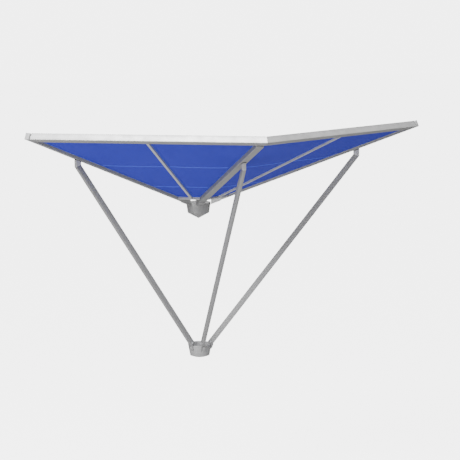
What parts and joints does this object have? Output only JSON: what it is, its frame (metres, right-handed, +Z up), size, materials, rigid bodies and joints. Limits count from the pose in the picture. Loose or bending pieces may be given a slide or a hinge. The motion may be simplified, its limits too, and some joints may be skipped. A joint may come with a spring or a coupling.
{
  "type": "rotary clothesline head",
  "caption": "Turning garden clothesline head: sloping arms from an open hub, raking struts to a lower ring, and framed blue cloth bays that fold up.",
  "frame": {"origin": "centre of the mast sleeve's bottom face, on the axis that the head turns about", "axes": "+Z up along the turning axis; the middle arm points along -Y; X runs across both bays"},
  "size_m": [2.7912, 1.6897, 1.7685],
  "materials": {
    "aluminium_tube": "satin mill finish",
    "cast_aluminium": "fine cast, satin",
    "steel": "zinc plated",
    "blue_cloth": "plain-weave coated polyester",
    "end_cap_plastic": "moulded grey",
    "bearing_plastic": "moulded natural",
    "rubber": "matt"
  },
  "bodies": {
    "mast_mount": {"mast_sleeve": "steel", "thrust_washer": "bearing_plastic", "retaining_ring": "steel"},
    "head": {"lower_ring": "cast_aluminium", "ring_bush": "bearing_plastic", "hub_shell": "cast_aluminium", "hub_cone": "cast_aluminium", "middle_arm": "aluminium_tube", "middle_arm_cap": "end_cap_plastic", "middle_arm_cradle": "cast_aluminium", "left_arm_cradle": "cast_aluminium", "right_arm_cradle": "cast_aluminium", "middle_strut": "aluminium_tube", "middle_strut_head": "cast_aluminium", "middle_strut_pad": "rubber", "middle_foot_clevis": "cast_aluminium", "left_foot_clevis": "cast_aluminium", "right_foot_clevis": "cast_aluminium", "middle_foot_pin": "steel", "left_foot_pin": "steel", "right_foot_pin": "steel", "left_hinge_arm_leaf": "steel", "right_hinge_arm_leaf": "steel", "left_hinge_rod": "steel", "right_hinge_rod": "steel"},
    "left_wing": {"left_arm": "aluminium_tube", "left_arm_cap": "end_cap_plastic", "left_arm_rail": "aluminium_tube", "left_hinge_rail": "aluminium_tube", "left_rim_rail": "aluminium_tube", "left_inner_rail": "aluminium_tube", "left_mid_bar": "aluminium_tube", "left_cloth_outer": "blue_cloth", "left_cloth_inner": "blue_cloth", "left_hinge_wing_leaf": "steel"},
    "left_strut_arm": {"left_strut": "aluminium_tube", "left_strut_head": "cast_aluminium", "left_strut_pad": "rubber"},
    "right_wing": {"right_arm": "aluminium_tube", "right_arm_cap": "end_cap_plastic", "right_arm_rail": "aluminium_tube", "right_hinge_rail": "aluminium_tube", "right_rim_rail": "aluminium_tube", "right_inner_rail": "aluminium_tube", "right_mid_bar": "aluminium_tube", "right_cloth_outer": "blue_cloth", "right_cloth_inner": "blue_cloth", "right_hinge_wing_leaf": "steel"},
    "right_strut_arm": {"right_strut": "aluminium_tube", "right_strut_head": "cast_aluminium", "right_strut_pad": "rubber"}
  },
  "joints": [
    {"name": "head_spin", "type": "hinge", "parent": "mast_mount", "child": "head", "pos_m": [0, 0, 0.05], "axis": [0, 0, 1], "continuous": true},
    {"name": "left_wing_fold", "type": "hinge", "parent": "head", "child": "left_wing", "pos_m": [-0.052, 0.01881, 1.15441], "axis": [0, 0.9323, -0.3616], "range_deg": [0, 70]},
    {"name": "left_strut_swing", "type": "hinge", "parent": "head", "child": "left_strut_arm", "pos_m": [-0.07621, -0.044, 0.11372], "axis": [-0.5, 0.866, 0], "range_deg": [0, 26]},
    {"name": "right_wing_fold", "type": "hinge", "parent": "head", "child": "right_wing", "pos_m": [0.011, 0.01578, 1.14659], "axis": [0, -0.9323, 0.3616], "range_deg": [0, 70]},
    {"name": "right_strut_swing", "type": "hinge", "parent": "head", "child": "right_strut_arm", "pos_m": [0.07621, -0.044, 0.11372], "axis": [-0.5, -0.866, 0], "range_deg": [0, 26]}
  ],
  "couplings": [
    {"joint": "left_strut_swing", "follows": "left_wing_fold", "ratio": 0.37},
    {"joint": "right_strut_swing", "follows": "right_wing_fold", "ratio": 0.37}
  ]
}
